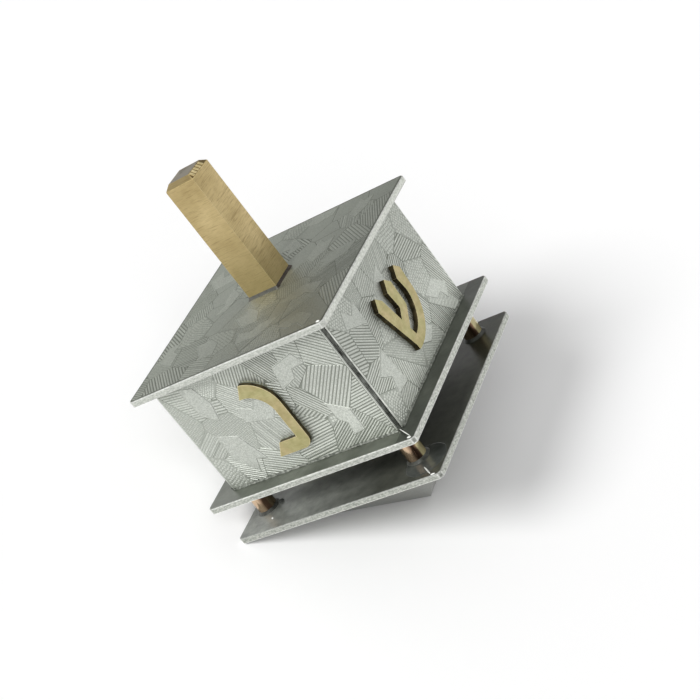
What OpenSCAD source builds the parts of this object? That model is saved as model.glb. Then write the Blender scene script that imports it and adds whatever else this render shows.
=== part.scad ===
// Square metal spinning top: a four-walled box between two plates, four short posts, a lower plate and a hollow point.
// Lengths are in millimetres. The tip of the point is the origin and +Z runs up the spinning axis to the handle.

/* [Box] */
// Outside width of the four-walled box
box_w = 38.8; // [34:0.1:42]
// Height of the box walls
box_h = 23.4; // [21:0.1:40]
// Thickness of the wall sheet
wall_t = 1; // [0.9:0.1:2]
// Width and depth of the groove that stays open along each corner seam
seam_w = 0.65; // [0.3:0.05:0.8]

/* [Plates] */
// Side of the top plate
top_plate_w = 44.2; // [43:0.1:50]
// Side of the middle plate, under the box
middle_plate_w = 46.4; // [43:0.1:50]
// Side of the lower plate, above the point
lower_plate_w = 45.4; // [43:0.1:50]
// Thickness of the three plates
plate_t = 1.2; // [0.8:0.1:3]
// Width filed off the plates' corners, along each side
corner_clip = 0.6; // [0.2:0.1:2]

/* [Handle] */
// Side of the square bar
handle_w = 6.35; // [4:0.05:10]
// Length of the bar above the top plate
handle_h = 24.8; // [12:0.1:40]
// Width of the chamfer round the bar's free end
handle_chamfer = 0.8; // [0.2:0.05:1.5]
// Distance of the bar from the spinning axis, towards the shin wall
handle_x = 0.2; // [-1:0.1:1]
// Distance of the bar from the spinning axis, towards the he wall
handle_y = 1.1; // [-1.5:0.1:1.5]

/* [Posts] */
// Diameter of the four round posts
post_d = 3.7; // [2:0.1:5]
// Height of the posts, the gap between the middle and the lower plate
post_h = 6.9; // [3:0.1:15]

/* [Point] */
// Side of the four-sided point where it meets the lower plate
point_w = 38.3; // [30:0.1:42]
// Height of the point
point_h = 17.3; // [10:0.1:30]
// Thickness of the point's sheet
point_t = 1; // [0.6:0.1:2]

/* [Letters] */
// Thickness of the letters, cut from sheet
letter_t = 1.1; // [0.5:0.1:2]
// Height of the letters nun, gimel and he
letter_h = 15.5; // [13:0.1:16]
// Height of their feet above the middle plate
letter_foot = 3.6; // [2.5:0.1:4.5]
// Height of the letter shin
shin_h = 13; // [11:0.1:15]
// Width of the letter shin
shin_w = 12.2; // [11:0.1:15]
// Height of its foot above the middle plate
shin_foot = 4.1; // [2.5:0.1:5.5]
// Width of the letters' upright strokes
stroke_w = 2.1; // [1.5:0.1:2.5]
// Width of the letters' level strokes
bar_w = 2.7; // [2:0.1:3]
// Width of the shin's strokes at their tips
tip_w = 2.8; // [2.2:0.1:3.4]

/* [Solder] */
// Width and height of the fillet of solder round the posts and the handle
fillet_w = 0.5; // [0.2:0.05:0.8]

/* [Hidden] */
$fn = 48;
// Overrun of every cut past the face that it cuts
overrun = 1;
// Heights of the layers, from the tip up
lower_z = point_h;
post_z = lower_z + plate_t;
middle_z = post_z + post_h;
box_z = middle_z + plate_t;
top_z = box_z + box_h;
handle_z = top_z + plate_t;
// Lean of the point's sheets, from level
point_lean = atan2(point_h, point_w / 2);
// The posts' places, as shares of half the smaller of their two plates: front, right, back and left
post_place_shares = [[0.70, -0.70], [0.74, 0.79], [-0.78, 0.76], [-0.82, -0.68]];
// Leg of the solder in each corner seam, as a share of the seam
seam_solder_share = 0.75;
// The letters' parts, as shares of their height: ends of the bow, the foot and he's bar, left of the middle
bow_share = 0.21;
foot_share = 0.26;
he_bar_share = 0.33;
// Right side of the stems
stem_share = 0.24;
// Outside radii of the round shoulders and of nun's heel
shoulder_share = 0.38;
he_shoulder_share = 0.26;
heel_share = 0.13;
// Height at which gimel's leg leaves the stem, and height of he's short leg
leg_rise_share = 0.22;
he_leg_share = 0.56;
// Inside radius of a shoulder, as a share of the outside radius
inner_share = 0.73;
// Slant of a level stroke's end, as a share of the stroke
slant_share = 0.66;
// Drop from a pen tip to its left and its right corner, as shares of the tip's width
tip_drop_shares = [0.7, 0.5];
// Shin's strokes, as shares of its width and height from the middle of its foot: tip, then foot, bend and join
left_shares = [[-0.42, 0.98], [-0.18, 0.08]];
right_shares = [[0.41, 0.98]];
middle_shares = [[0.02, 1], [0.03, 0.55], [-0.2, 0.36]];
// Right side of the stems of nun, gimel and he
stem_right = stem_share * letter_h;

brass = "#B9A56E";
sheet = "#BDBFBA";
polished = "#83867F";
copper = "#A5764C";
solder = "#6C6E69";

// A square sheet whose corners are filed off straight
module plate(w) {
    half = w / 2;
    side = half - corner_clip;
    linear_extrude(plate_t)
        polygon([[-side, -half], [side, -half], [half, -side], [half, side],
                 [side, half], [-side, half], [-half, side], [-half, -side]]);
}

module top_plate() {
    color(sheet)
        translate([0, 0, top_z])
            plate(top_plate_w);
}

module middle_plate() {
    color(polished)
        translate([0, 0, middle_z])
            plate(middle_plate_w);
}

module lower_plate() {
    color(polished)
        translate([0, 0, lower_z])
            plate(lower_plate_w);
}

// A wall of the box. Its ends are square outside, for the seam's groove, and mitred inside, where two walls meet.
module wall(turn) {
    out = box_w / 2;
    seam = out - seam_w;
    inside = out - wall_t;
    color(sheet)
        translate([0, 0, box_z])
            rotate([0, 0, turn])
                linear_extrude(box_h)
                    polygon([[-seam, -out], [seam, -out], [seam, -seam], [inside, -inside],
                             [-inside, -inside], [-seam, -seam]]);
}

// A strip of solder at the bottom of each corner's groove
module seam_solder() {
    seam = box_w / 2 - seam_w;
    leg = seam_w * seam_solder_share;
    color(solder)
        for (turn = [0 : 90 : 270])
            translate([0, 0, box_z])
                rotate([0, 0, turn])
                    linear_extrude(box_h)
                        polygon([[seam, -seam], [seam, -seam - leg], [seam + leg, -seam]]);
}

// The square bar, with its free end chamfered on all four sides
module handle() {
    cut_w = 2 * handle_w;
    color(brass)
        translate([handle_x, handle_y, handle_z])
            difference() {
                translate([-handle_w / 2, -handle_w / 2, 0])
                    cube([handle_w, handle_w, handle_h]);
                for (turn = [0 : 90 : 270])
                    rotate([0, 0, turn])
                        translate([(handle_w - handle_chamfer) / 2, 0, handle_h - handle_chamfer / 2])
                            rotate([0, 45, 0])
                                translate([-cut_w / 2, -cut_w / 2, 0])
                                    cube(cut_w);
            }
}

// The solder round the foot of the handle, with round corners
module handle_solder() {
    profile = [[0, 0], [fillet_w, 0], [0, fillet_w]];
    color(solder)
        translate([handle_x, handle_y, handle_z])
            for (turn = [0 : 90 : 270])
                rotate([0, 0, turn]) {
                    translate([-handle_w / 2, -handle_w / 2, 0])
                        rotate([90, 0, 90])
                            mirror([1, 0, 0])
                                linear_extrude(handle_w)
                                    polygon(profile);
                    translate([handle_w / 2, -handle_w / 2, 0])
                        rotate([0, 0, -90])
                            rotate_extrude(angle = 90)
                                polygon(profile);
                }
}

function post_at(i) = min(lower_plate_w, middle_plate_w) / 2 * post_place_shares[i];

module post(i) {
    color(copper)
        translate([post_at(i)[0], post_at(i)[1], post_z])
            cylinder(h = post_h, d = post_d);
}

// A fillet of solder round both ends of each post
module post_solder() {
    r = post_d / 2;
    color(solder)
        for (i = [0 : 3])
            translate([post_at(i)[0], post_at(i)[1], post_z]) {
                rotate_extrude()
                    polygon([[r, 0], [r + fillet_w, 0], [r, fillet_w]]);
                rotate_extrude()
                    polygon([[r, post_h], [r, post_h - fillet_w], [r + fillet_w, post_h]]);
            }
}

// One of the point's four sheets: a leaning sheet cut by the two upright planes in which the point's edges lie
module point_sheet(turn) {
    reach = point_w / 2 + overrun;
    length = point_h + point_w;
    color(polished)
        rotate([0, 0, turn])
            intersection() {
                linear_extrude(point_h)
                    polygon([[0, 0], [reach, -reach], [-reach, -reach]]);
                rotate([-point_lean, 0, 0])
                    translate([-reach, -length, 0])
                        cube([2 * reach, length, point_t]);
            }
}

// A letter's flat outline, raised on the outside of its wall
module on_wall(turn, foot) {
    color(brass)
        rotate([0, 0, turn])
            translate([0, -box_w / 2, box_z + foot])
                rotate([90, 0, 0])
                    linear_extrude(letter_t)
                        children();
}

// What is cut from an upper right corner to make it round
module corner_cut(r) {
    difference() {
        square(r + overrun);
        circle(r);
    }
}

// A block whose upper right corner is round
module shoulder_block(left, right, foot, top, r) {
    difference() {
        translate([left, foot])
            square([right - left, top - foot]);
        translate([right - r, top - r])
            corner_cut(r);
    }
}

// A bar with a round shoulder and a stem down its right side; the bar's left end is cut on a slant
module hook(left, r) {
    inner = letter_h - bar_w;
    back = left + slant_share * bar_w;
    difference() {
        shoulder_block(left, stem_right, 0, letter_h, r);
        shoulder_block(left - overrun, stem_right - stroke_w, -overrun, inner, r * inner_share);
        polygon([[left - overrun, inner], [left, inner], [back, letter_h], [back, letter_h + overrun],
                 [left - overrun, letter_h + overrun]]);
    }
}

// A stroke that narrows from a slanted tip, as a broad pen leaves it, to its foot
module prong(tip, foot) {
    polygon([[foot[0] - stroke_w / 2, foot[1]],
             [foot[0] + stroke_w / 2, foot[1]],
             [tip[0] + tip_w / 2, tip[1] - tip_drop_shares[1] * tip_w],
             [tip[0], tip[1]],
             [tip[0] - tip_w / 2, tip[1] - tip_drop_shares[0] * tip_w]]);
}

module nun() {
    left = -foot_share * letter_h;
    heel = heel_share * letter_h;
    difference() {
        union() {
            hook(-bow_share * letter_h, shoulder_share * letter_h);
            polygon([[left, 0], [stem_right, 0], [stem_right, bar_w], [left + slant_share * bar_w, bar_w]]);
        }
        translate([stem_right - heel, heel])
            rotate(-90)
                corner_cut(heel);
    }
}

module gimel() {
    left = -foot_share * letter_h;
    inner = stem_right - stroke_w;
    rise = leg_rise_share * letter_h;
    hook(-bow_share * letter_h, shoulder_share * letter_h);
    polygon([[left, 0], [left + bar_w, 0], [inner, rise], [inner, rise + bar_w]]);
}

module he() {
    left = -he_bar_share * letter_h;
    hook(left, he_shoulder_share * letter_h);
    translate([left + stroke_w / 2, 0])
        square([stroke_w, he_leg_share * letter_h]);
}

module shin() {
    function at(share) = [share[0] * shin_w, share[1] * shin_h];
    left_foot = at(left_shares[1]);
    bowl_r = shin_w / 2 - left_foot[0];
    inner_r = bowl_r - stroke_w;
    bend = at(middle_shares[1]);
    join = at(middle_shares[2]);
    along = join - bend;
    prong(at(left_shares[0]), left_foot);
    prong(at(right_shares[0]), [shin_w / 2 - stroke_w / 2, bowl_r]);
    prong(at(middle_shares[0]), bend);
    // The middle prong's lower end bends over to the left prong
    translate(bend) {
        circle(stroke_w / 2);
        rotate(atan2(along[1], along[0]))
            translate([0, -stroke_w / 2])
                square([norm(along), stroke_w]);
    }
    // The bowl from the foot of the left prong to the right prong
    translate([left_foot[0], bowl_r])
        intersection() {
            difference() {
                circle(bowl_r);
                circle(inner_r);
            }
            translate([-stroke_w / 2, -bowl_r])
                square([bowl_r + stroke_w, bowl_r]);
        }
}

module letter_nun() {
    on_wall(0, letter_foot)
        nun();
}

module letter_shin() {
    on_wall(90, shin_foot)
        shin();
}

module letter_he() {
    on_wall(180, letter_foot)
        he();
}

module letter_gimel() {
    on_wall(270, letter_foot)
        gimel();
}

handle();
top_plate();
wall(0);  // wall_nun
wall(90);  // wall_shin
wall(180);  // wall_he
wall(270);  // wall_gimel
letter_nun();
letter_shin();
letter_he();
letter_gimel();
middle_plate();
post(0);  // post_front
post(1);  // post_right
post(2);  // post_back
post(3);  // post_left
lower_plate();
point_sheet(0);  // point_front_left
point_sheet(90);  // point_front_right
point_sheet(180);  // point_back_right
point_sheet(270);  // point_back_left
seam_solder();
post_solder();
handle_solder();
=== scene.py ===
import math
import random

import bmesh
import bpy
from mathutils import Matrix, Vector


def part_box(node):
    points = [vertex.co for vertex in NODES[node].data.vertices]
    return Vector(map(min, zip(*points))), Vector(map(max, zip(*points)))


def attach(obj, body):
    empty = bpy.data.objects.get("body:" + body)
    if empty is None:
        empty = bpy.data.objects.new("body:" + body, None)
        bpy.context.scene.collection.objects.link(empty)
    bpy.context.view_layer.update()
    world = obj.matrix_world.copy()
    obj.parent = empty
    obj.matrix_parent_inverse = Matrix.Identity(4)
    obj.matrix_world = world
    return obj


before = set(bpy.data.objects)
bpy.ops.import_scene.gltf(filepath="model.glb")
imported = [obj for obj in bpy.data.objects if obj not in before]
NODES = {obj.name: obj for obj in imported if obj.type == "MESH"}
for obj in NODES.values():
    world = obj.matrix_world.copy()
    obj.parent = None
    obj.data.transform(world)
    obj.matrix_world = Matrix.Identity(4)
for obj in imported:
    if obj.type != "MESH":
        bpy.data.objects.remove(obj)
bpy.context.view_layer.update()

MM = 0.001
UP = Vector((0, 0, 1))

# Corners of the CAD nodes that the rest is placed by, in metres
WALL_LOW, WALL_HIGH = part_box("wall_shin")
TOP_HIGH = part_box("top_plate")[1]
MIDDLE_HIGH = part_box("middle_plate")[1]
LOWER_LOW, LOWER_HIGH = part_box("lower_plate")
HANDLE_LOW, HANDLE_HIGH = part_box("handle")
# Half the box's width, and the width of the open groove at each of its corners
BOX_HALF = WALL_HIGH.x
SEAM = BOX_HALF - WALL_HIGH.y

# Each wall's outward direction, and its direction to the right as seen from outside
WALLS = {
    "nun": (Vector((0, -1, 0)), Vector((1, 0, 0))),
    "shin": (Vector((1, 0, 0)), Vector((0, 1, 0))),
    "he": (Vector((0, 1, 0)), Vector((-1, 0, 0))),
    "gimel": (Vector((-1, 0, 0)), Vector((0, -1, 0))),
}
POSTS = ("post_front", "post_right", "post_back", "post_left")
POINT_SHEETS = ("point_front_left", "point_front_right", "point_back_right", "point_back_left")


# Camera
CAMERA_AT = Vector((167.835, -207.887, 135.495)) * MM
CAMERA_RIGHT = Vector((0.758946, 0.312255, -0.5714))
CAMERA_UP = Vector((0.308473, 0.600391, 0.737818))
CAMERA_LENS = 83.034
CAMERA_SENSOR = 36.0
CAMERA_CLIP = (0.01, 20.0)


def link(obj):
    bpy.context.scene.collection.objects.link(obj)
    return obj


def make_camera():
    data = bpy.data.cameras.new("camera")
    data.lens = CAMERA_LENS
    data.sensor_width = CAMERA_SENSOR
    data.clip_start, data.clip_end = CAMERA_CLIP
    camera = link(bpy.data.objects.new("camera", data))
    turn = Matrix((CAMERA_RIGHT, CAMERA_UP, CAMERA_RIGHT.cross(CAMERA_UP))).transposed()
    camera.matrix_world = Matrix.Translation(CAMERA_AT) @ turn.to_4x4()
    bpy.context.scene.camera = camera


make_camera()


# Node helpers

# Half the range of noise over which its patches go from one value to the other
CRISP, SOFT = 0.15, 0.2
# Depth of a material's bump at full strength
BUMP_DEPTH = 0.05 * MM


class Graph:
    """Short ways to write a node tree."""

    def __init__(self, tree):
        self.tree = tree
        tree.nodes.clear()

    def node(self, kind, inputs=None, **settings):
        made = self.tree.nodes.new("ShaderNode" + kind)
        for key, value in settings.items():
            setattr(made, key, value)
        for key, value in (inputs or {}).items():
            self.put(made.inputs[key], value)
        return made

    def put(self, socket, value):
        if isinstance(value, bpy.types.NodeSocket):
            self.tree.links.new(value, socket)
        else:
            socket.default_value = value

    def math(self, operation, a, b=0.0, clamp=False):
        return self.node("Math", {0: a, 1: b}, operation=operation, use_clamp=clamp).outputs[0]

    def dot(self, vector, way):
        return self.node("VectorMath", {0: vector, 1: way}, operation="DOT_PRODUCT").outputs["Value"]

    def between(self, value, low, high, out_low=0.0, out_high=1.0):
        made = self.node("MapRange", {"Value": value, "From Min": low, "From Max": high,
                                      "To Min": out_low, "To Max": out_high}, clamp=True)
        return made.outputs["Result"]

    def mix(self, share, a, b):
        """Colour a where share is 0 and colour b where it is 1."""
        return self.node("Mix", {0: share, 6: a, 7: b}, data_type="RGBA").outputs[2]

    def multiply(self, a, b):
        """One colour times another."""
        made = self.node("Mix", {0: 1.0, 6: a, 7: b}, data_type="RGBA", blend_type="MULTIPLY")
        return made.outputs[2]

    def shade(self, colour, level):
        """A colour times a level of grey."""
        return self.multiply(colour, self.node("CombineColor", {0: level, 1: level, 2: level}).outputs[0])

    def choose(self, share, a, b):
        """Number a where share is 0 and number b where it is 1."""
        return self.node("Mix", {0: share, 2: a, 3: b}, data_type="FLOAT").outputs[0]

    def place(self):
        """A point's coordinates in the frame, by the names X, Y and Z."""
        return self.node("SeparateXYZ", {"Vector": self.node("TexCoord").outputs["Object"]}).outputs

    def facing(self, kind="True Normal"):
        """How far the surface faces along X, Y and Z, from -1 to 1."""
        return self.node("SeparateXYZ", {"Vector": self.node("NewGeometry").outputs[kind]}).outputs

    def squareness(self, axis):
        """How squarely the surface faces along one axis, from 0 to 1."""
        return self.math("ABSOLUTE", self.facing()[axis])

    def noise(self, scale, detail=2.0, rough=0.5, stretch=None, turn=(0, 0, 0)):
        """Noise in the frame's own coordinates. scale is per metre, and stretch scales each axis first."""
        at = self.node("TexCoord").outputs["Object"]
        if stretch:
            at = self.node("Mapping", {"Vector": at, "Scale": stretch, "Rotation": turn}).outputs[0]
        made = self.node("TexNoise", {"Vector": at, "Scale": scale, "Detail": detail, "Roughness": rough})
        return made.outputs["Fac"]

    def patchy(self, noise, low=0.0, high=1.0, spread=CRISP):
        """A number that goes from low to high with the patches of a noise."""
        return self.between(noise, 0.5 - spread, 0.5 + spread, low, high)

    def mottle(self, noise, dark, pale, spread=CRISP):
        """Two colours in the patches of a noise."""
        return self.mix(self.patchy(noise, spread=spread), dark, pale)

    def finish(self, colour, rough, bump=None, depth=1.0, metallic=1.0, **inputs):
        """The surface itself, a metal unless metallic says otherwise."""
        inputs = {"Base Color": colour, "Roughness": rough, "Metallic": metallic, **inputs}
        shader = self.node("BsdfPrincipled", inputs)
        if bump is not None:
            lift = self.node("Bump", {"Height": bump, "Strength": depth, "Distance": BUMP_DEPTH})
            self.put(shader.inputs["Normal"], lift.outputs[0])
        return shader.outputs[0]


def grey(value):
    return (value, value, value, 1.0)


def tint(r, g, b):
    """A linear colour from its 0 to 255 screen values."""
    def linear(c):
        c = c / 255
        return c / 12.92 if c <= 0.04045 else ((c + 0.055) / 1.055) ** 2.4
    return (linear(r), linear(g), linear(b), 1.0)


def material(name, build):
    made = bpy.data.materials.new(name)
    made.use_nodes = True
    g = Graph(made.node_tree)
    g.node("OutputMaterial", {"Surface": build(g)})
    return made


# Where a point lies and faces

# Range of squareness over which one face's colour turns into the next one's
TURN = (0.3, 0.7)
TOP_TURN = (0.3, 0.8)


def outer(g, at):
    """The larger of a point's two distances from the upright planes through the axis."""
    return g.math("MAXIMUM", g.math("ABSOLUTE", at["X"]), g.math("ABSOLUTE", at["Y"]))


def inner(g, at):
    """The smaller of a point's two distances from the upright planes through the axis."""
    return g.math("MINIMUM", g.math("ABSOLUTE", at["X"]), g.math("ABSOLUTE", at["Y"]))


def across_x(g, at):
    """1 at the two walls that stand across X, and 0 at the others."""
    return g.math("GREATER_THAN", g.math("ABSOLUTE", at["X"]), g.math("ABSOLUTE", at["Y"]))


# Embossed sheet

# How far the walls' relief stays clear of the seams
SEAM_MARGIN = 0.25 * MM
RELIEF_HALF = BOX_HALF - SEAM - SEAM_MARGIN
# Height of the top's relief, as a share of the walls'
TOP_RELIEF = 0.42
# Heights of the relief over which valleys turn into crests, a plate's side, darkened as painted shade,
# begins, and its top begins
CREST_RAMP = (0.012 * MM, 0.065 * MM)
SIDE_RAMP = (0.09 * MM, 0.11 * MM)
PLATE_RAMP = (0.125 * MM, 0.135 * MM)
# A point less than this below the top face is on the top
TOP_DEPTH = 0.1 * MM
# A point farther out than this from the walls is on the top plate's edge
EDGE_GAP = 1 * MM
# Painted shade on the top, darker along a slanting line to the right and the front
TOP_SHADE_SLANT = 0.5
TOP_SHADE_REACH = (-14 * MM, 20 * MM)
TOP_SHADE_LEVELS = (0.92, 0.644)
# Height over which the walls' brightness changes towards their feet, as painted light
FOOT_REACH = 14 * MM
# What they gain there on the left, and how much more painted light they get on the right
FOOT_GAIN_LEFT, FOOT_GAIN_RIGHT = -0.04, 0.42
# The walls' brightness at the right, lowered as painted shade, and a colour that the top is multiplied by
RIGHT_LEVEL = 0.95
TOP_WARMTH = (0.985, 1.0, 0.96, 1.0)


def rim_speckle(g):
    """The grain of a sheet's cut edge, drawn out along it."""
    return g.noise(4000, 3, 0.65, (0.45, 0.45, 1.0))


def top_edge(g):
    """The top plate's speckled edge, paler as painted light where it stands across X."""
    speckle = rim_speckle(g)
    front = g.mottle(speckle, tint(182, 186, 178), tint(220, 222, 215))
    side = g.mottle(speckle, tint(200, 203, 195), tint(234, 236, 229))
    return g.mix(g.between(g.squareness("X"), *TURN), front, side)


def relief_colour(g, height, on_top, rightward, grain):
    """Pale crests and plates, with valleys dark as patina and painted shade, darker still towards the right
    as painted shade, and plates' sides darkened as painted shade.
    """
    wall_valley = g.mix(rightward, tint(160, 164, 155), tint(134, 138, 129))
    valley = g.mix(on_top, wall_valley, tint(140, 144, 135))
    crest = g.mottle(grain, tint(188, 192, 184), tint(218, 221, 214))
    plate = g.mottle(grain, tint(178, 182, 174), tint(212, 215, 208))
    colour = g.mix(g.between(height, *CREST_RAMP), valley, crest)
    colour = g.mix(g.between(height, *SIDE_RAMP), colour, tint(120, 124, 116))
    return g.mix(g.between(height, *PLATE_RAMP), colour, plate)


def top_painted_shade(g, at):
    """The top's brightness, with painted shade that darkens it towards the right and the front."""
    slanting = g.math("SUBTRACT", at["X"], g.math("MULTIPLY", at["Y"], TOP_SHADE_SLANT))
    return g.between(slanting, *TOP_SHADE_REACH, *TOP_SHADE_LEVELS)


def wall_painted_light(g, at, rightward):
    """The walls' brightness as painted light and shade: more towards their feet on the right, less towards
    the right.
    """
    foot = g.between(at["Z"], WALL_LOW.z, WALL_LOW.z + FOOT_REACH, 1.0, 0.0)
    gain = g.math("ADD", FOOT_GAIN_LEFT, g.math("MULTIPLY", rightward, FOOT_GAIN_RIGHT))
    level = g.math("ADD", 1.0, g.math("MULTIPLY", foot, gain))
    return g.math("MULTIPLY", level, g.between(at["X"], 0.0, BOX_HALF, 1.0, RIGHT_LEVEL))


def embossed(g):
    at = g.place()
    out = outer(g, at)
    grain = g.noise(5200, 3, 0.6)
    on_top = g.math("GREATER_THAN", at["Z"], TOP_HIGH.z - TOP_DEPTH)
    on_wall = g.math("SUBTRACT", 1.0, on_top)
    # Share of the way to the right, which adds painted shade to the walls' valleys and painted light to their
    # feet
    rightward = g.between(at["X"], -BOX_HALF, 0.6 * BOX_HALF)
    wall_height = g.math("MULTIPLY", g.math("SUBTRACT", out, BOX_HALF), on_wall)
    top_height = g.math("MULTIPLY", g.math("SUBTRACT", at["Z"], TOP_HIGH.z), on_top)
    height = g.math("ADD", wall_height, g.math("MULTIPLY", top_height, 1 / TOP_RELIEF))
    colour = relief_colour(g, height, on_top, rightward, grain)
    # The smooth band by the seams, pale as bare sheet and as a painted highlight along the arrises
    at_seam = g.math("MULTIPLY", on_wall, g.math("GREATER_THAN", inner(g, at), RELIEF_HALF))
    colour = g.mix(at_seam, colour, tint(214, 217, 210))
    at_edge = g.math("MULTIPLY", on_wall, g.math("GREATER_THAN", out, BOX_HALF + EDGE_GAP))
    colour = g.mix(at_edge, colour, top_edge(g))
    colour = g.multiply(colour, g.mix(on_top, grey(1.0), TOP_WARMTH))
    # Painted shade on the top
    on_top_painted_shade = g.math("MULTIPLY", on_top, top_painted_shade(g, at))
    # Painted light and shade on the walls
    on_wall_painted_light = g.math("MULTIPLY", on_wall, wall_painted_light(g, at, rightward))
    colour = g.shade(colour, g.math("ADD", on_top_painted_shade, on_wall_painted_light))
    return g.finish(colour, g.patchy(g.noise(2500, 2), 0.5, 0.62, SOFT), grain, 0.4)


# Smooth sheet

# The lower plate's film: where it starts and is whole, from the axis, and how far its border wanders
FILM_EDGE = (13 * MM, 17 * MM)
FILM_WANDER = 5 * MM
# Where the film on the right turns from its front colour to its darker back colour, as painted shade
FILM_BACK = (-6 * MM, 16 * MM)


def plain_sheet(g):
    """Smooth grey sheet, darker right of the box as painted shade and paler towards its left edge as painted
    light.
    """
    at = g.place()
    top = g.between(g.squareness("Z"), *TOP_TURN)
    speckle = rim_speckle(g)
    cloud = g.noise(140, 3)
    left = g.mottle(cloud, tint(118, 122, 114), tint(140, 143, 135), SOFT)
    right = g.mottle(cloud, tint(88, 91, 85), tint(106, 109, 102), SOFT)
    # Painted shade: the face is darker right of the box
    face = g.mix(g.math("GREATER_THAN", at["X"], BOX_HALF), left, right)
    wear = g.patchy(g.noise(420, 4, 0.65), 0.9, 1.08)
    # Painted light: paler towards the left edge, on top of the patchy wear
    wear = g.math("MULTIPLY", wear, g.between(at["X"], -BOX_HALF, -0.6 * BOX_HALF, 1.18, 1.0))
    rim = g.mottle(speckle, tint(156, 160, 152), tint(214, 216, 208))
    colour = g.mix(top, rim, g.shade(face, wear))
    return g.finish(colour, g.between(top, 0.0, 1.0, 0.42, 0.36), speckle, 0.3)


def polished_sheet(g):
    """Dark polish in the middle, under a film from the soldering towards the edges, whose colours are painted
    light and shade: paler on the left, darker on the right and darker still towards its back.
    """
    at = g.place()
    level = g.squareness("Z")
    top = g.between(level, *TOP_TURN)
    speckle = rim_speckle(g)
    wander = g.math("MULTIPLY", g.noise(240, 3), FILM_WANDER)
    film = g.between(g.math("ADD", outer(g, at), wander), *FILM_EDGE)
    smudge = g.noise(500, 4, 0.65)
    # Painted light and shade in the film: pale on the left, dark on the right, darker towards the back
    left = g.mottle(smudge, tint(112, 115, 110), tint(146, 149, 142), SOFT)
    front = g.mottle(smudge, tint(62, 64, 57), tint(86, 88, 80), SOFT)
    back = g.mottle(smudge, tint(40, 42, 31), tint(64, 66, 52), SOFT)
    right = g.mix(g.between(at["Y"], *FILM_BACK), front, back)
    film_colour = g.mix(g.between(at["X"], -0.5 * BOX_HALF, 0.5 * BOX_HALF), left, right)
    polish = g.mottle(g.noise(110, 4), tint(140, 143, 136), tint(160, 162, 154), SOFT)
    rim = g.mottle(speckle, tint(140, 144, 136), tint(206, 208, 200))
    colour = g.mix(top, rim, g.mix(g.between(film, 0.0, 0.75), polish, film_colour))
    metallic = g.between(g.math("MULTIPLY", film, level), 0.1, 0.95, 1.0, 0.1)
    return g.finish(colour, g.between(top, 0.0, 1.0, 0.42, 0.3), speckle, 0.08, metallic)


def polished_point(g):
    colour = g.mottle(g.noise(120, 4), tint(106, 109, 99), tint(134, 137, 125), SOFT)
    return g.finish(colour, 0.16, g.noise(4000, 3), 0.1)


# Brass and copper

# Range of noise over which a scratch gets its full strength
SCRATCH_RAMP = 0.12
# Least noise that shows as a scratch, on the faces across Y and on those across X
SCRATCH_STARTS = (0.57, 0.53)
# The copper posts' direction from their pink side to their pale side, along which their painted shade and
# reflection are laid
POST_SIDE = Vector((0.777, 0.629, 0.0))
# The handle's arrises are dull from this height up, and turn from pale to dull over the fade below it
DULL_FROM = HANDLE_HIGH.z - 1.0 * MM
DULL_FADE = 0.5 * MM
# The letters' edges: height over the wall to which solder covers them, and how uneven that is
SOLDER_LINE = (0.45 * MM, 0.62 * MM)
SOLDER_WANDER = 0.4 * MM
# How much less of the edge it covers on the walls across X, where the edge doesn't face down, leaving more of
# its painted shade
CLEAN_GAIN = 0.2 * MM
FACING_DOWN = (-0.5, -0.2)


def scratches(g, tilt, scale, thinness):
    """Fine lines that run across the bar, leaning by some degrees, sparser on the faces across Y."""
    turn = (math.radians(tilt), math.radians(-tilt), 0)
    lines = g.noise(scale, 2, 0.6, (1, 1, thinness), turn)
    start = g.between(g.squareness("X"), *TURN, *SCRATCH_STARTS)
    return g.math("MULTIPLY", g.math("SUBTRACT", lines, start), 1 / SCRATCH_RAMP, clamp=True)


def brushed_brass(g):
    """The handle: fine cross scratches, a browner chamfer and a grey sawn end."""
    broad = scratches(g, 8, 330, 17)
    fine = g.math("MULTIPLY", scratches(g, -10, 520, 18), 0.6)
    faint = g.math("MULTIPLY", scratches(g, 30, 560, 16), 0.6)
    scratch = g.math("MAXIMUM", g.math("MAXIMUM", broad, fine), faint)
    level = g.squareness("Z")
    chamfer = g.between(g.squareness("Y"), 0.3, 0.6, 0.7, 0.12)
    chamfer = g.math("MULTIPLY", g.between(level, 0.3, 0.5), chamfer)
    colour = g.mottle(g.noise(180, 3), tint(180, 160, 113), tint(206, 186, 138), SOFT)
    colour = g.mix(g.math("MULTIPLY", scratch, 0.42), colour, tint(134, 115, 76))
    colour = g.mix(chamfer, colour, tint(124, 104, 66))
    colour = g.mix(g.between(level, 0.8, 0.95, 0.0, 0.75), colour, tint(104, 98, 78))
    return g.finish(colour, g.between(scratch, 0.0, 1.0, 0.34, 0.5), g.math("SUBTRACT", 1.0, scratch), 0.3)


def worn_brass(g):
    """The handle's arrises: worn pale along the bar, which is also a painted highlight, and as the faces are
    round its end.
    """
    wear = g.noise(1500, 3, 0.6)
    pale = g.mottle(wear, tint(202, 184, 136), tint(232, 216, 170))
    dull = g.mottle(wear, tint(176, 156, 108), tint(204, 184, 134))
    at_end = g.between(g.place()["Z"], DULL_FROM - DULL_FADE, DULL_FROM)
    return g.finish(g.mix(at_end, pale, dull), 0.45)


# File marks: fresh filed brass, pale also as a painted highlight
def filed_brass(g):
    colour = g.mottle(g.noise(1500, 3, 0.6), tint(196, 178, 128), tint(236, 220, 172))
    return g.finish(colour, 0.45, metallic=0.4)


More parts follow.
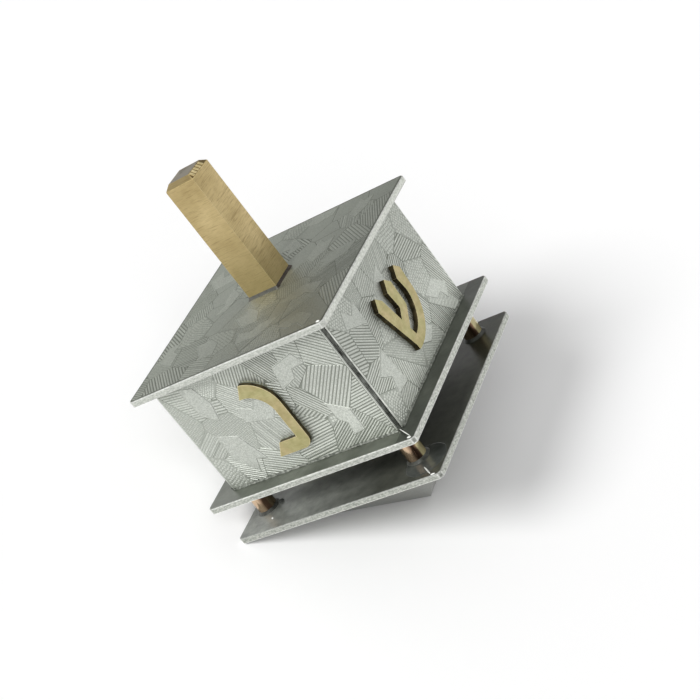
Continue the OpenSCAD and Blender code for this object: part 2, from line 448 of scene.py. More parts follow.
def sheet_brass(g):
    """The letters' faces: olive and tan patches under slanting brush lines."""
    patch = g.noise(700, 3)
    olive = g.mottle(patch, tint(169, 163, 115), tint(187, 180, 134))
    tan = g.mottle(patch, tint(174, 162, 118), tint(192, 178, 136))
    lines = g.noise(900, 3, 0.6, (1, 1, 12), (math.radians(40), math.radians(40), 0))
    colour = g.mix(g.between(g.noise(240, 2), 0.42, 0.6), olive, tan)
    colour = g.mix(g.between(lines, 0.55, 0.7, 0.0, 0.4), colour, tint(140, 126, 84))
    return g.finish(colour, g.patchy(lines, 0.32, 0.46, SOFT), lines, 0.35)


# Painted highlight on the letters' rounded arrises
def brass_painted_highlight(g):
    return g.finish(g.mottle(g.noise(1500, 3, 0.6), tint(214, 198, 150), tint(242, 230, 190)), 0.42)


def edge_in_painted_shade(g):
    """A letter's cut edge, dark as painted shade, with grey solder along its foot."""
    at = g.place()
    dark = g.mottle(g.noise(700, 3), tint(58, 52, 40), tint(96, 86, 62))
    grey_solder = g.mottle(g.noise(1800, 3, 0.6), tint(118, 121, 112), tint(176, 179, 171))
    not_down = g.between(g.facing()["Z"], *FACING_DOWN, 0.0, CLEAN_GAIN)
    clean = g.math("MULTIPLY", across_x(g, at), not_down)
    rise = g.math("SUBTRACT", outer(g, at), BOX_HALF)
    rise = g.math("ADD", rise, g.math("MULTIPLY", g.noise(1100, 3), SOLDER_WANDER))
    rise = g.math("ADD", rise, clean)
    return g.finish(g.mix(g.between(rise, *SOLDER_LINE), grey_solder, dark), 0.5, g.noise(6000, 3), 0.5)


def copper(g):
    """Copper rod coloured by a fixed direction: pink on one side, brown in the middle as painted shade, and
    pale on the other side as a painted reflection, most on the posts to the right.
    """
    side = g.dot(g.node("NewGeometry").outputs["Normal"], POST_SIDE)
    side = g.math("ADD", side, g.math("MULTIPLY", g.noise(500, 3), 0.1))
    # Painted reflection on the pale side, stronger on the posts to the right
    pale = g.between(g.place()["X"], 0.0, BOX_HALF / 2, 0.25, 1.0)
    pale = g.math("MULTIPLY", g.between(side, 0.36, 0.5), pale)
    colour = g.mix(g.between(side, -0.4, -0.05), tint(212, 184, 154), tint(116, 90, 74))
    colour = g.mix(pale, colour, tint(206, 194, 148))
    return g.finish(colour, 0.16, metallic=g.between(pale, 0.0, 1.0, 1.0, 0.45))


# Solder and worn edges

# The seam's solder turns dark, as painted shade, over this range of difference between the outer and the
# inner distance
SEAM_SHADOW = (0.45 * SEAM, 0.75 * SEAM)


def solder(g):
    """The fillet round the handle, darker as painted shade on the side that faces +X."""
    cloud = g.noise(900, 4, 0.6)
    pale = g.mottle(cloud, tint(96, 96, 90), tint(130, 130, 122), SOFT)
    dark = g.mottle(cloud, tint(64, 60, 56), tint(112, 104, 96), SOFT)
    colour = g.mix(g.between(g.facing("Normal")["X"], 0.2, 0.5), pale, dark)
    return g.finish(colour, 0.38, g.noise(3500, 3), 0.6)


def seam_lead(g):
    """The strip in a corner seam, with painted shade beside the walls' ends."""
    at = g.place()
    cloud = g.noise(900, 4, 0.7, (1, 1, 0.5))
    core = g.mottle(cloud, tint(70, 72, 67), tint(158, 161, 154), 0.12)
    aside = g.between(g.math("SUBTRACT", outer(g, at), inner(g, at)), *SEAM_SHADOW)
    return g.finish(g.mix(aside, core, tint(22, 22, 20)), 0.42, cloud, 0.8)


def foot_solder(g):
    """The rough bead along the walls' feet."""
    cloud = g.noise(1600, 4, 0.65)
    return g.finish(g.mottle(cloud, tint(96, 100, 93), tint(158, 161, 153)), 0.55, cloud, 0.8)


def post_film(g):
    """The dark solder round the posts' ends."""
    colour = g.mottle(g.noise(900, 4, 0.65), tint(44, 44, 40), tint(84, 86, 80))
    return g.finish(colour, 0.35, metallic=0.0)


def solder_pool(g):
    """Flux that has set like glass."""
    colour = g.mottle(g.noise(420, 3, 0.6), tint(62, 65, 62), tint(84, 87, 83), SOFT)
    return g.finish(colour, 0.12, metallic=0.0, IOR=1.45)


def glint(g):
    """Smooth solder painted bright as a highlight."""
    colour = g.mottle(g.noise(900, 3, 0.6), tint(222, 223, 218), tint(244, 245, 240))
    return g.finish(colour, 0.2, metallic=0.0)


def arris_wear_and_light(above, below):
    """A plate's worn arrises with painted light, from the screen levels of those that face up and those that
    face down.
    """
    def build(g):
        # Painted light: the arrises that face up and those that face down get their own levels
        facing_up = g.between(g.facing()["Z"], -0.2, 0.2)
        level = g.mix(facing_up, tint(below, below + 2, below - 4), tint(above, above + 2, above - 4))
        wear = g.mottle(g.noise(1500, 3, 0.6), grey(0.62), grey(1.0))
        return g.finish(g.multiply(level, wear), 0.45, metallic=0.5)
    return build


def wall_arris_wear_and_highlight(g):
    """The walls' arrises with patchy wear: bright as a painted highlight on the two walls that stand across
    X, dull on the others.
    """
    wear = g.between(g.noise(420, 4, 0.7), 0.35, 0.6)
    share = g.math("ADD", g.math("MULTIPLY", across_x(g, g.place()), 0.7), 0.3)
    return g.finish(g.mix(g.math("MULTIPLY", wear, share), tint(150, 154, 147), tint(244, 246, 240)), 0.45)


MATERIALS = {name: material(name, build) for name, build in {
    "embossed_sheet": embossed,
    "plain_sheet": plain_sheet,
    "polished_sheet": polished_sheet,
    "polished_point": polished_point,
    "brushed_brass": brushed_brass,
    "worn_brass": worn_brass,
    "filed_brass": filed_brass,
    "sheet_brass": sheet_brass,
    "brass_painted_highlight": brass_painted_highlight,
    "edge_in_painted_shade": edge_in_painted_shade,
    "copper": copper,
    "solder": solder,
    "seam_lead": seam_lead,
    "foot_solder": foot_solder,
    "post_film": post_film,
    "solder_pool": solder_pool,
    "glint": glint,
    "top_arris_wear_and_light": arris_wear_and_light(228, 218),
    "middle_arris_wear_and_light": arris_wear_and_light(226, 250),
    "lower_arris_wear_and_light": arris_wear_and_light(190, 250),
    "wall_arris_wear_and_highlight": wall_arris_wear_and_highlight,
}.items()}


# Finish of the CAD nodes

# Widths of the rounding of sharp edges
WALL_ROUNDING = 0.08 * MM
PLATE_ROUNDING = 0.17 * MM
HANDLE_ROUNDING = 0.1 * MM
LETTER_ROUNDING = 0.08 * MM
SHARP_ANGLE = math.radians(30)
WELD_GAP = 0.001 * MM
# A letter's polygon that faces out by more than this is part of its face
FACE_SHARE = 0.7


def dress(name, *material_names):
    """Gives a CAD node its materials and uses the first one."""
    obj = NODES[name]
    obj.data.materials.clear()
    for material_name in material_names:
        obj.data.materials.append(MATERIALS[material_name])
    for polygon in obj.data.polygons:
        polygon.material_index = 0
    return obj


def soften(obj, width):
    """Rounds a CAD node's sharp edges a little, with its last material on them."""
    weld = obj.modifiers.new("weld", "WELD")
    weld.merge_threshold = WELD_GAP
    bevel = obj.modifiers.new("bevel", "BEVEL")
    bevel.width = width
    bevel.segments = 2
    bevel.limit_method = "ANGLE"
    bevel.angle_limit = SHARP_ANGLE
    bevel.material = len(obj.data.materials) - 1


def dress_letter(name, out):
    """Brass on the letter's face, a dark edge round it as painted shade, and a painted highlight on its
    rounded arrises.
    """
    letter = dress(name, "sheet_brass", "edge_in_painted_shade", "brass_painted_highlight")
    for polygon in letter.data.polygons:
        polygon.material_index = 0 if abs(polygon.normal.dot(out)) > FACE_SHARE else 1
    soften(letter, LETTER_ROUNDING)


for wall, (out, right) in WALLS.items():
    soften(dress("wall_" + wall, "embossed_sheet", "wall_arris_wear_and_highlight"), WALL_ROUNDING)
    dress_letter("letter_" + wall, out)
soften(dress("top_plate", "embossed_sheet", "top_arris_wear_and_light"), PLATE_ROUNDING)
soften(dress("middle_plate", "plain_sheet", "middle_arris_wear_and_light"), PLATE_ROUNDING)
soften(dress("lower_plate", "polished_sheet", "lower_arris_wear_and_light"), PLATE_ROUNDING)
soften(dress("handle", "brushed_brass", "worn_brass"), HANDLE_ROUNDING)
for sheet in POINT_SHEETS:
    dress(sheet, "polished_point")
for post in POSTS:
    dress(post, "copper")
dress("seam_solder", "seam_lead")
dress("post_solder", "post_film")
dress("handle_solder", "solder")


# Pieces made here
def band(mesh, lower, upper):
    """Four-sided faces between two closed rings of vertices."""
    for i in range(len(lower)):
        j = (i + 1) % len(lower)
        mesh.faces.new([lower[i], lower[j], upper[j], upper[i]])


def add_piece(name, mesh, material_name, smooth=False):
    """Makes a piece of the object from a finished mesh, in one material."""
    data = bpy.data.meshes.new(name)
    mesh.to_mesh(data)
    mesh.free()
    data.materials.append(MATERIALS[material_name])
    for polygon in data.polygons:
        polygon.use_smooth = smooth
    piece = link(bpy.data.objects.new(name, data))
    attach(piece, "root")


# Outlines on a flat face, in millimetres
def axes(angle):
    """The directions along and across a line that leans by an angle."""
    along = Vector((math.cos(angle), math.sin(angle)))
    return along, Vector((-along.y, along.x))


def clip(polygon, point, normal):
    """The part of a convex polygon on the side of a line that normal points away from."""
    kept = []
    for i, a in enumerate(polygon):
        b = polygon[(i + 1) % len(polygon)]
        da, db = (a - point).dot(normal), (b - point).dot(normal)
        if da <= 0:
            kept.append(a)
        if (da < 0 < db) or (db < 0 < da):
            kept.append(a + (b - a) * (da / (da - db)))
    return kept


def inset(polygon, distance):
    """A convex polygon, drawn counterclockwise, moved in by a distance."""
    made = list(polygon)
    for i, a in enumerate(polygon):
        b = polygon[(i + 1) % len(polygon)]
        edge = (b - a).normalized()
        outward = Vector((edge.y, -edge.x))
        made = clip(made, a - outward * distance, outward)
        if len(made) < 3:
            return []
    return made


def area(polygon):
    return sum(a.x * b.y - b.x * a.y for a, b in zip(polygon, polygon[1:] + polygon[:1])) / 2


# Least length of a chord, and how little a line may lean to an edge before it counts as parallel to it
LEAST_CHORD = 0.25
PARALLEL = 1e-9


def chord(polygon, point, along):
    """The two distances along a line between which it is inside a convex polygon, or None if it hardly is."""
    low, high = -math.inf, math.inf
    for i, a in enumerate(polygon):
        b = polygon[(i + 1) % len(polygon)]
        edge = b - a
        outward = Vector((edge.y, -edge.x))
        speed = along.dot(outward)
        gap = (a - point).dot(outward)
        if abs(speed) < PARALLEL:
            if gap < 0:
                return None
        elif speed > 0:
            high = min(high, gap / speed)
        else:
            low = max(low, gap / speed)
    return (low, high) if high - low > LEAST_CHORD else None


# Distance between the patches' points, how far these wander as a share of it, and a patch's least area
PATCH_SPACING = 6.2
PATCH_WANDER = 0.45
LEAST_PATCH = 0.5
# A patch's pull on the lines round it, up to this share of the spacing squared
PULL_SHARE = 0.4


def patches(rng, left, right, bottom, top):
    """Divides a rectangle into uneven patches, each held by one of many scattered points of unequal pull."""
    seeds = []
    columns = max(2, round((right - left) / PATCH_SPACING))
    rows = max(2, round((top - bottom) / PATCH_SPACING))
    for i in range(columns):
        for j in range(rows):
            column = i + 0.25 + 0.5 * (j % 2) + rng.uniform(-PATCH_WANDER, PATCH_WANDER)
            row = j + 0.5 + rng.uniform(-PATCH_WANDER, PATCH_WANDER)
            at = Vector((left + (right - left) * column / columns, bottom + (top - bottom) * row / rows))
            seeds.append((at, rng.uniform(0, PULL_SHARE) * PATCH_SPACING ** 2))
    corners = [Vector(c) for c in ((left, bottom), (right, bottom), (right, top), (left, top))]
    made = []
    for a, pull in seeds:
        polygon = corners
        for b, other in seeds:
            if b is not a and polygon:
                way = b - a
                polygon = clip(polygon, (a + b) / 2 + way * ((pull - other) / (2 * way.length_squared)), way)
        if len(polygon) > 2 and area(polygon) > LEAST_PATCH:
            made.append(polygon)
    return made


# Embossed relief, in millimetres

# Kinds of patches: ridges up to the first share, studs up to the second, and domes
HATCHED, STUDDED = 0.62, 0.8
HATCH_BASE = (0.0, 0.03)
HATCH_PITCH = (0.44, 0.6)
HATCH_HEIGHT = 0.075
# The first ridge's place, and each one's width and step to the next, as shares of the pitch
HATCH_START = (0.3, 0.7)
HATCH_WIDTHS = (0.84, 0.98)
HATCH_STEPS = (0.92, 1.08)
# Its height, as a share of the usual one
HATCH_HEIGHTS = (0.7, 1.1)
# Lines across a ridge: place as a share of its width, and height as a share of its own
RIDGE_PROFILE = [(-0.5, -0.1), (-0.25, 0.72), (0.0, 1.0), (0.25, 0.72), (0.5, -0.1)]
# How far a ridge's crest draws in at each end, and the least length of its lines
RIDGE_END = 0.07
LEAST_RIDGE = 0.1
# Width, as a share of its own, of a ridge that doesn't fit in full
NARROW_SHARE = 0.45
# Small bumps: how high they start, and their two forms, with the distance of rows as a share of the pitch
BUMP_BASE = 0.038
STUDS = {"pitch": 0.42, "height": 0.042, "sides": 4, "row_share": 1.0, "top_share": 0.6}
DOMES = {"pitch": 0.62, "height": 0.046, "sides": 6, "row_share": 0.87, "top_share": 0.55}
# Rings below a bump's top: radius and height as shares of its own
BUMP_PROFILE = [(1.0, -0.1), (0.72, 0.7)]
# How far bumps wander and stay clear of the patch's sides, and their radius, all as shares of the pitch
BUMP_WANDER = 0.08
BUMP_MARGIN = 0.45
BUMP_RADII = (0.46, 0.54)
BUMP_HEIGHTS = (0.75, 1.1)
# Slope of a patch's sides, and how far its ridges and bumps stay inside them
BASE_SLOPE = 0.02
FIELD_INSET = 0.025
# Height and slope of a patch that stays smooth
SMOOTH_HEIGHT, SMOOTH_SLOPE = 0.047, 0.12
# Smooth raised plates: area of the face for each, and least distance between two
PLATE_AREA, PLATE_GAP = 190, 9.5
TOP_PLATE_AREA, TOP_PLATE_GAP = 80, 8.0
PLATE_HEIGHT, PLATE_SLOPE = 0.14, 0.26
PLATE_SIZES = (1.35, 1.8)
PLATE_STRETCH = (0.9, 1.1)
PLATE_TRIES = 400
# Keeps the inset of a plate's sharpest corners within bounds
SHARPEST_TURN = 0.5
PLATE_FORMS = [
    [(-3.0, -1.1), (1.2, -1.6), (3.1, 0.2), (0.6, 1.5), (-2.2, 1.1)],
    [(-2.6, -1.5), (0.2, -1.2), (0.9, -0.2), (2.8, -0.5), (2.2, 1.6), (-1.0, 1.3)],
    [(-2.9, -0.9), (-0.4, -1.7), (2.6, -0.8), (1.5, 0.3), (2.2, 1.6), (-1.6, 1.2)],
    [(-2.4, -1.2), (2.4, -1.6), (1.1, 1.7), (-0.3, 0.4), (-1.9, 1.5)],
]
WALL_MARGIN, TOP_MARGIN = 0.12, 0.5
WALL_SEED, TOP_SEED = 11, 31
TOP_SMOOTH_SHARE = 0.4


class Relief:
    """Collects raised forms on one flat face, in millimetres across it, up it and out of it."""

    def __init__(self, origin, right, up, out):
        self.origin, self.right, self.up, self.out = origin, right, up, out
        self.mesh = bmesh.new()

    def ring(self, points, height):
        return [self.vertex(p, height) for p in points]

    def vertex(self, point, height):
        offset = self.right * point.x + self.up * point.y + self.out * height
        return self.mesh.verts.new(self.origin + offset * MM)

    def face(self, vertices):
        self.mesh.faces.new(vertices)

    def make_piece(self, name):
        bmesh.ops.recalc_face_normals(self.mesh, faces=self.mesh.faces)
        add_piece(name, self.mesh, "embossed_sheet")


def slab(relief, polygon, height, slope):
    """A raised convex patch with sloping sides."""
    top = inset(polygon, slope)
    if len(top) < 3:
        return
    upper = relief.ring(top, height)
    relief.face(upper)
    if len(top) == len(polygon):
        band(relief.mesh, relief.ring(polygon, 0.0), upper)


def raised_plate(relief, polygon, height, slope):
    """A raised patch that may have an inward corner."""
    top = []
    for i, p in enumerate(polygon):
        before = (p - polygon[i - 1]).normalized()
        after = (polygon[(i + 1) % len(polygon)] - p).normalized()
        inward = Vector((-before.y, before.x)) + Vector((-after.y, after.x))
        top.append(p + inward * (slope * 2 / max(inward.length_squared, SHARPEST_TURN)))
    lower, upper = relief.ring(polygon, 0.0), relief.ring(top, height)
    band(relief.mesh, lower, upper)
    relief.face(upper)


def ridge(polygon, middle, along, width):
    """The two ends of each line of a raised ridge across a patch, or nothing where it doesn't fit."""
    lines = []
    for share, level in RIDGE_PROFILE:
        point = middle + width * share
        ends = chord(polygon, point, along)
        pull = RIDGE_END * max(level, 0)
        if ends is None or ends[1] - ends[0] - 2 * pull < LEAST_RIDGE:
            return []
        lines.append([(point + along * (ends[0] + pull), level), (point + along * (ends[1] - pull), level)])
    return lines


def hatch(relief, rng, polygon, base, pitch, height):
    """Parallel raised lines across a patch."""
    along, across = axes(rng.uniform(0, math.pi))
    reach = [p.dot(across) for p in polygon]
    at = min(reach) + pitch * rng.uniform(*HATCH_START)
    while at < max(reach):
        width = pitch * rng.uniform(*HATCH_WIDTHS)
        tall = height * rng.uniform(*HATCH_HEIGHTS)
        lines = ridge(polygon, across * at, along, across * width)
        if not lines:
            lines = ridge(polygon, across * at, along, across * width * NARROW_SHARE)
        if lines:
            rows = [[relief.vertex(p, base + tall * level) for p, level in line] for line in lines]
            for a, b in zip(rows, rows[1:]):
                relief.face([a[0], a[1], b[1], b[0]])
            relief.face([row[0] for row in rows])
            relief.face([row[1] for row in reversed(rows)])
        at += pitch * rng.uniform(*HATCH_STEPS)


def bump(relief, centre, radius, turn, base, tall, sides, top_share):
    """One small dome or stud."""
    ways = [axes(turn + 2 * math.pi * k / sides)[0] for k in range(sides)]
    rings = [relief.ring([centre + way * radius * share for way in ways], base + tall * level)
             for share, level in [*BUMP_PROFILE, (top_share, 1.0)]]
    for a, b in zip(rings, rings[1:]):
        band(relief.mesh, a, b)
    relief.face(rings[-1])


def bumps(relief, rng, polygon, base, depth, pitch, height, sides, row_share, top_share):
    """Rows of small domes or studs over a patch, with studs in line and domes in between each other."""
    square = sides == 4
    angle = rng.uniform(0, math.pi)
    along, across = axes(angle)
    field = inset(polygon, pitch * BUMP_MARGIN)
    if len(field) < 3:
        return
    first = min(p.dot(along) for p in field)
    v = min(p.dot(across) for p in field)
    last_v = max(p.dot(across) for p in field)
    row = 0
    while v < last_v:
        ends = chord(field, across * v, along)
        if ends:
            u = ends[0] + ((first - ends[0]) % pitch if square else pitch * 0.5 * (row % 2))
            while u < ends[1]:
                centre = across * (v + rng.uniform(-BUMP_WANDER, BUMP_WANDER) * pitch)
                centre = centre + along * (u + rng.uniform(-BUMP_WANDER, BUMP_WANDER) * pitch)
                radius = pitch * rng.uniform(*BUMP_RADII)
                tall = height * depth * rng.uniform(*BUMP_HEIGHTS)
                turn = angle + (math.pi / 4 if square else rng.uniform(0, 1))
                bump(relief, centre, radius, turn, base, tall, sides, top_share)
                u += pitch
        row += 1
        v += pitch * row_share


def texture(relief, rng, patch, depth, smooth_share):
    """Fills one patch with ridges, studs or domes, or leaves it smooth."""
    kind = rng.random()
    if smooth_share and rng.random() < smooth_share:
        slab(relief, patch, SMOOTH_HEIGHT * depth, SMOOTH_SLOPE)
        return
    base = (rng.uniform(*HATCH_BASE) if kind < HATCHED else BUMP_BASE) * depth
    slab(relief, patch, base, BASE_SLOPE)
    field = inset(patch, FIELD_INSET)
    if len(field) < 3:
        return
    if kind < HATCHED:
        hatch(relief, rng, field, base, rng.uniform(*HATCH_PITCH), HATCH_HEIGHT * depth)
    else:
        bumps(relief, rng, field, base, depth, **(STUDS if kind < STUDDED else DOMES))


def plate_form(rng, centre, size):
    """The outline of a smooth raised plate, counterclockwise, with one or two inward corners."""
    along, across = axes(rng.uniform(0, 2 * math.pi))
    along, across = along * size, across * size
    return [centre + along * u * rng.uniform(*PLATE_STRETCH) + across * v * rng.uniform(*PLATE_STRETCH)
            for u, v in rng.choice(PLATE_FORMS)]


def scatter_plates(relief, rng, box, depth, each, gap):
    """Lays raised plates over the patches, inside the box and apart from each other."""
    left, right, bottom, top = box
    wanted = round((right - left) * (top - bottom) / each)
    placed = []
    for _ in range(PLATE_TRIES):
        centre = Vector((rng.uniform(left, right), rng.uniform(bottom, top)))
        form = plate_form(rng, centre, rng.uniform(*PLATE_SIZES))
        inside = all(left < p.x < right and bottom < p.y < top for p in form)
        if inside and len(placed) < wanted and all((centre - other).length > gap for other in placed):
            placed.append(centre)
            raised_plate(relief, form, PLATE_HEIGHT * depth, PLATE_SLOPE)


def emboss(name, relief, box, seed, depth=1.0, each=PLATE_AREA, gap=PLATE_GAP, smooth_share=0.0):
    """Covers a face with a patchwork of raised textures and a few plates."""
    for index, patch in enumerate(patches(random.Random(seed), *box)):
        texture(relief, random.Random(seed * 100 + index), patch, depth, smooth_share)
    scatter_plates(relief, random.Random(seed), box, depth, each, gap)
    relief.make_piece(name)


half = RELIEF_HALF / MM
wall_box = (-half, half, WALL_MARGIN, (WALL_HIGH.z - WALL_LOW.z) / MM - WALL_MARGIN)
for count, (wall, (out, right)) in enumerate(WALLS.items()):
    relief = Relief(out * BOX_HALF + UP * WALL_LOW.z, right, UP, out)
    emboss("relief_" + wall, relief, wall_box, WALL_SEED + count)
half = TOP_HIGH.x / MM - TOP_MARGIN
relief = Relief(UP * TOP_HIGH.z, Vector((1, 0, 0)), Vector((0, 1, 0)), UP)
emboss("relief_top", relief, (-half, half, -half, half), TOP_SEED, TOP_RELIEF, TOP_PLATE_AREA, TOP_PLATE_GAP,
       TOP_SMOOTH_SHARE)


# Pool and runs of solder, some painted bright as highlights, in millimetres

# The pool's middle, under the front post
POOL_AT = (18.1, -17.5)
POOL_RADIUS = 4.1
POOL_SIDES = 64
# Radius as a share of the pool's, and height
POOL_PROFILE = [
    (1.0, -0.01), (0.99, 0.03), (0.96, 0.05), (0.9, 0.045), (0.6, 0.04), (0.3, 0.04), (0.05, 0.04),
]
DROP_SIDES = 24
# A drop's rings, by their angle up its round side, in degrees
DROP_ANGLES = (-12, 0, 15, 30, 45, 60, 72, 82, 88)
# Half the widths of the box, the middle plate and the top plate
BOX = BOX_HALF / MM
PLATE = MIDDLE_HIGH.x / MM
TOP = TOP_HIGH.x / MM


def near(half, x, y):
    """A point by the front corner of a square, from half its width and the distances to its two sides."""
    return half - x, y - half


# The runs in glint are drops of solder that carry painted highlights
# Name, two ends, the highest corner of the plate it lies on, width, height and material
RUNS = [
    ("run_post_front", (18.3, -19.4), (20.5, -22.0), LOWER_HIGH, 0.3, 0.12, "glint"),
    ("run_corner_lower", (20.7, -22.4), (21.6, -22.3), LOWER_HIGH, 0.35, 0.15, "glint"),
    ("run_post_left", (-16.1, -19.1), (-15.7, -19.6), LOWER_HIGH, 0.35, 0.15, "glint"),
    ("drop_post_left", (-16.4, -15.3), (-15.3, -14.6), LOWER_HIGH, 0.9, 0.5, "solder_pool"),
    ("run_seam_front", near(BOX, 0.7, 0.5), near(PLATE, 1.0, 1.0), MIDDLE_HIGH, 0.2, 0.12, "glint"),
    ("run_corner_front", near(PLATE, 1.6, 0.75), near(PLATE, 0.7, 0.65), MIDDLE_HIGH, 0.42, 0.18, "glint"),
    ("run_corner_top", near(TOP, 1.5, 0.75), near(TOP, 0.7, 0.65), TOP_HIGH, 0.5, 0.18, "glint"),
]


def turned(name, origin, profile, sides, material_name, shape=Matrix.Identity(3)):
    """A smooth piece turned from radius and height pairs, in millimetres, and then reshaped by a matrix."""
    mesh = bmesh.new()
    ways = [axes(2 * math.pi * k / sides)[0] for k in range(sides)]
    rings = [[mesh.verts.new(origin + shape @ Vector((r * way.x, r * way.y, rise)) * MM) for way in ways]
             for r, rise in profile]
    for a, b in zip(rings, rings[1:]):
        band(mesh, a, b)
    mesh.faces.new(rings[-1])
    add_piece(name, mesh, material_name, smooth=True)


def run(name, start, end, plate_high, width, height, material_name):
    """A narrow drop of solder that lies on a flat face between two points."""
    start, end = Vector(start), Vector(end)
    middle, along = (start + end) / 2, (end - start) / 2
    aside = Vector((-along.y, along.x)).normalized() * width / 2
    shape = Matrix(((along.x, aside.x, 0), (along.y, aside.y, 0), (0, 0, height)))
    profile = [(math.cos(math.radians(angle)), math.sin(math.radians(angle))) for angle in DROP_ANGLES]
    origin = Vector((middle.x * MM, middle.y * MM, plate_high.z))
    turned(name, origin, profile, DROP_SIDES, material_name, shape)


# The thin glassy pool that has run out from the front post's foot
pool_profile = [(share * POOL_RADIUS, rise) for share, rise in POOL_PROFILE]
turned("pool_post_front", Vector((POOL_AT[0] * MM, POOL_AT[1] * MM, LOWER_HIGH.z)), pool_profile, POOL_SIDES,
       "solder_pool")
for row in RUNS:
    run(*row)


# Solder along the walls' feet, in millimetres
FOOT_SEED = 51
# Length of a step along the bead, its usual and its least size, and how much that wanders at each step
FOOT_STEP = 0.4
FOOT_SIZE = 0.3
FOOT_LEAST = 0.12
FOOT_WANDER = 0.09
# How far the bead goes back to its usual size at each step, as a share
FOOT_RETURN = 0.5
# How far the bead goes into the wall and into the plate
WALL_OVERLAP, PLATE_OVERLAP = 0.05, 0.02
# Width of its upper part, which is nearly flat, and the height there as a share of its rise
FLAT_WIDTH, FLAT_RISE = 0.1, 0.92
# Points of its slope: distance from the wall as a share of its reach, and height as a share of its rise
FOOT_SLOPE = [(0.45, 0.6), (0.85, 0.2)]


def wall_foot(name, out, right, seed):
    """An uneven bead of solder in the corner between a wall and the middle plate."""
    rng = random.Random(seed)
    count = round(2 * (BOX - SEAM / MM) / FOOT_STEP)
    mesh = bmesh.new()
    rows = []
    reach = rise = FOOT_SIZE
    for i in range(count + 1):
        reach += rng.uniform(-FOOT_WANDER, FOOT_WANDER) + FOOT_RETURN * (FOOT_SIZE - reach)
        rise += rng.uniform(-FOOT_WANDER, FOOT_WANDER) + FOOT_RETURN * (FOOT_SIZE - rise)
        reach, rise = max(reach, FOOT_LEAST), max(rise, FOOT_LEAST)
        at = out * BOX_HALF + right * ((2 * i / count - 1) * (BOX_HALF - SEAM)) + UP * MIDDLE_HIGH.z
        slope = [(a * reach, b * rise) for a, b in FOOT_SLOPE]
        profile = [(-WALL_OVERLAP, rise), (FLAT_WIDTH, rise * FLAT_RISE), *slope, (reach, -PLATE_OVERLAP)]
        rows.append([mesh.verts.new(at + (out * a + UP * b) * MM) for a, b in profile])
    for a, b in zip(rows, rows[1:]):
        for k in range(len(a) - 1):
            mesh.faces.new([a[k], b[k], b[k + 1], a[k + 1]])
    bmesh.ops.recalc_face_normals(mesh, faces=mesh.faces)
    add_piece(name, mesh, "foot_solder")


for count, (wall, (out, right)) in enumerate(WALLS.items()):
    wall_foot("foot_" + wall, out, right, FOOT_SEED + count)


# File marks on the handle's chamfer, in millimetres

# The chamfer's size, measured along the handle's faces
CHAMFER = 0.8
MARK_SEED = 5
MARK_COUNT = 5
MARK_WIDTH = 0.6
MARK_LENGTH = 1.0
MARK_GAP = 0.28
# Centre of the first mark, from the handle's front face
MARK_START = 1.15
# How far a mark's corners stand out of the chamfer, and how deep its foot is in it
MARK_LIFT = (0.02, 0.07)
MARK_DEPTH = 0.05
# Size of a mark's top, as a share of its foot
MARK_TOP_SHARE = 0.92


def file_marks():
    """Small flat facets left by the file along one chamfer at the handle's end."""
    rng = random.Random(MARK_SEED)
    across, out = Vector((0, 1, 0)), Vector((1, 0, 1)).normalized()
    down = Vector((1, 0, -1)).normalized()
    half_width, half_length = MARK_WIDTH / 2, MARK_LENGTH / 2
    corners = [(-half_width, -half_length), (half_width, -half_length), (half_width, half_length),
               (-half_width, half_length)]
    mesh = bmesh.new()
    for i in range(MARK_COUNT):
        centre = Vector((HANDLE_HIGH.x - CHAMFER / 2 * MM, HANDLE_LOW.y, HANDLE_HIGH.z - CHAMFER / 2 * MM))
        centre += across * (MARK_START + i * (MARK_WIDTH + MARK_GAP)) * MM
        lift = [rng.uniform(*MARK_LIFT) for _ in corners]
        top = [mesh.verts.new(centre + ((across * a + down * b) * MARK_TOP_SHARE + out * h) * MM)
               for (a, b), h in zip(corners, lift)]
        base = [mesh.verts.new(centre + (across * a + down * b - out * MARK_DEPTH) * MM) for a, b in corners]
        mesh.faces.new(top)
        band(mesh, base, top)
    bmesh.ops.recalc_face_normals(mesh, faces=mesh.faces)
    add_piece("file_marks", mesh, "filed_brass")


file_marks()


# Floor

# The top leans on its tip and on one edge of its lower plate. The floor goes through both, so it isn't level.
FLOOR_UP = Vector((LOWER_LOW.z, 0, -LOWER_LOW.x)).normalized()
FLOOR_X = Vector((FLOOR_UP.z, 0, -FLOOR_UP.x))
FLOOR_Y = Vector((0, 1, 0))
FLOOR_SIZE = 3.0
# Brightness of the floor in the light that it throws back, and as the camera and reflections see it
FLOOR_BOUNCE = 0.8
FLOOR_SEEN = 0.98


def floor_point(x, y, up):
    """A point given in the floor's own directions, in metres from the tip."""
    return FLOOR_X * x + FLOOR_Y * y + FLOOR_UP * up


def floor_paper(g):
    """Matt white from above, and clear from below."""
    path = g.node("LightPath").outputs
    seen = g.math("MAXIMUM", path["Is Camera Ray"], path["Is Glossy Ray"])
    paper = g.node("BsdfDiffuse", {"Color": g.mix(seen, grey(FLOOR_BOUNCE), grey(FLOOR_SEEN))})
    clear = g.node("BsdfTransparent")
    below = g.node("NewGeometry").outputs["Backfacing"]
    return g.node("MixShader", {0: below, 1: paper.outputs[0], 2: clear.outputs[0]}).outputs[0]


def make_floor():
    mesh = bpy.data.meshes.new("floor")
    corners = [floor_point(x, y, 0) * (FLOOR_SIZE / 2) for x, y in ((-1, -1), (1, -1), (1, 1), (-1, 1))]
    mesh.from_pydata(corners, [], [(0, 1, 2, 3)])
    mesh.materials.append(material("floor_paper", floor_paper))
    link(bpy.data.objects.new("floor", mesh))


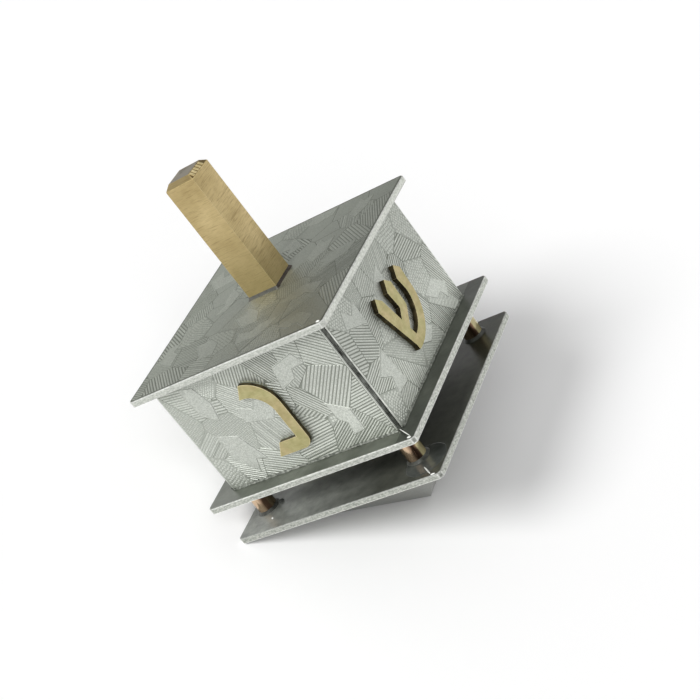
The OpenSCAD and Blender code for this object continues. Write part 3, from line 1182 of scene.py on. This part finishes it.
# Studio light
SKY_LIGHT = 0.3
# Brightness of the studio in reflections, in front and at the back left
FRONT_GLOSS, BACK_GLOSS = 1.0, 0.34
BACK_WAY = floor_point(-0.8, 0.6, 0.0)
BACK_RAMP = (0.1, 0.75)
# Dark patches of the studio in reflections: direction, cosines where each starts and is whole, and brightness
DARK_PATCHES = [
    (floor_point(0.5, -0.79, 0.35), (0.72, 0.9), 0.08),
    (Vector((-0.157, 0.892, 0.42)), (0.85, 0.94), 0.3),
]
KEY_WAY = floor_point(-0.383, -0.663, 0.643)
KEY_SPREAD, KEY_STRENGTH = 0.36, 2.15
FILL_SPREAD, FILL_STRENGTH = 0.7, 1.3


def make_world():
    """White to the camera, a plain level of light, and a studio with darker parts in reflections."""
    world = bpy.data.worlds.new("studio")
    bpy.context.scene.world = world
    world.use_nodes = True
    g = Graph(world.node_tree)
    path = g.node("LightPath").outputs
    away = g.node("TexCoord").outputs["Generated"]
    gloss = g.between(g.dot(away, BACK_WAY), *BACK_RAMP, FRONT_GLOSS, BACK_GLOSS)
    for way, ramp, level in DARK_PATCHES:
        gloss = g.math("MULTIPLY", gloss, g.between(g.dot(away, way), *ramp, 1.0, level))
    light = g.choose(path["Is Glossy Ray"], SKY_LIGHT, gloss)
    seen = g.math("MAXIMUM", path["Is Camera Ray"], path["Is Transmission Ray"])
    shade = g.node("Background", {"Color": grey(1.0), "Strength": g.choose(seen, light, 1.0)})
    g.node("OutputWorld", {"Surface": shade.outputs[0]})


def far_light(name, way, spread, strength):
    """A broad, soft light from far off."""
    data = bpy.data.lights.new(name, "SUN")
    data.angle = spread
    data.energy = strength
    made = link(bpy.data.objects.new(name, data))
    made.rotation_mode = "QUATERNION"
    made.rotation_quaternion = way.to_track_quat("Z", "Y")
    return made


make_floor()
make_world()
far_light("key", KEY_WAY, KEY_SPREAD, KEY_STRENGTH)
far_light("fill", CAMERA_AT, FILL_SPREAD, FILL_STRENGTH).visible_glossy = False
bpy.context.scene.view_settings.view_transform = "Standard"
